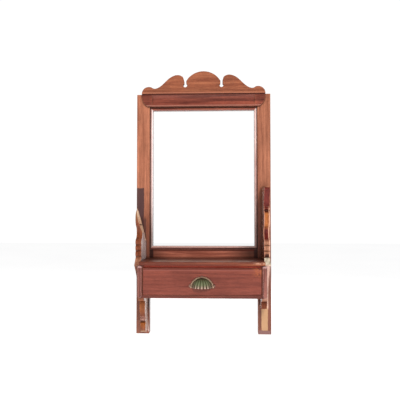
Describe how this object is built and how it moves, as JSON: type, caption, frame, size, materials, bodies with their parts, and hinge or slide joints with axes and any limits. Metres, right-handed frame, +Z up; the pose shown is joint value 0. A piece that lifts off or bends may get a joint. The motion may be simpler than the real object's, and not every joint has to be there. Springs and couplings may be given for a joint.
{
  "type": "wall mirror with drawer",
  "caption": "Wooden wall mirror with a scalloped crest, a shallow case with a drawer under the glass, a shell pull and sawn scroll brackets.",
  "frame": {"origin": "on the wall plane, midway between the two hanging holes in the backs of the stiles", "axes": "+Z up, +X to the viewer's right, -Y out from the wall towards the viewer"},
  "size_m": [0.306, 0.1335, 0.5975],
  "materials": {
    "stained_wood": "worn satin shellac over a red-brown stain",
    "bracket_wood": "worn satin shellac, bare at the breaks",
    "slip_wood": "gloss shellac over a pink-brown stain",
    "bare_wood": "unfinished, aged",
    "silvered_glass": "polished, silvered at the back",
    "brass": "dull",
    "aged_brass": "cast, with a green patina and rubbed edges",
    "steel": "dull"
  },
  "bodies": {
    "frame_and_case": {"left_stile": "stained_wood", "right_stile": "stained_wood", "top_rail": "stained_wood", "bottom_rail": "stained_wood", "left_sight_slip": "slip_wood", "right_sight_slip": "slip_wood", "top_sight_slip": "slip_wood", "bottom_sight_slip": "slip_wood", "mirror_glass": "silvered_glass", "backing_board": "bare_wood", "glazing_sprigs": "steel", "header_moulding": "stained_wood", "crest_board": "stained_wood", "crest_tongues": "bare_wood", "left_case_side": "stained_wood", "right_case_side": "stained_wood", "case_top": "stained_wood", "case_bottom": "stained_wood", "case_back": "bare_wood", "case_front_rail": "stained_wood", "left_front_strip": "stained_wood", "right_front_strip": "stained_wood", "drawer_stops": "bare_wood", "left_upper_bracket": "bracket_wood", "right_upper_bracket": "bracket_wood", "left_lower_bracket": "bracket_wood", "right_lower_bracket": "bracket_wood", "upper_bracket_nails": "steel", "lower_bracket_nails": "steel", "case_nails": "steel", "left_hanging_plate": "brass", "right_hanging_plate": "brass", "hanging_plate_screws": "brass"},
    "drawer": {"drawer_front": "stained_wood", "left_drawer_side": "bare_wood", "right_drawer_side": "bare_wood", "drawer_back": "bare_wood", "drawer_bottom": "bare_wood", "shell_pull": "aged_brass", "pull_pins": "aged_brass"}
  },
  "joints": [
    {"name": "drawer_slide", "type": "slide", "parent": "frame_and_case", "child": "drawer", "axis": [0, -1, 0], "range_m": [0, 0.065]}
  ]
}
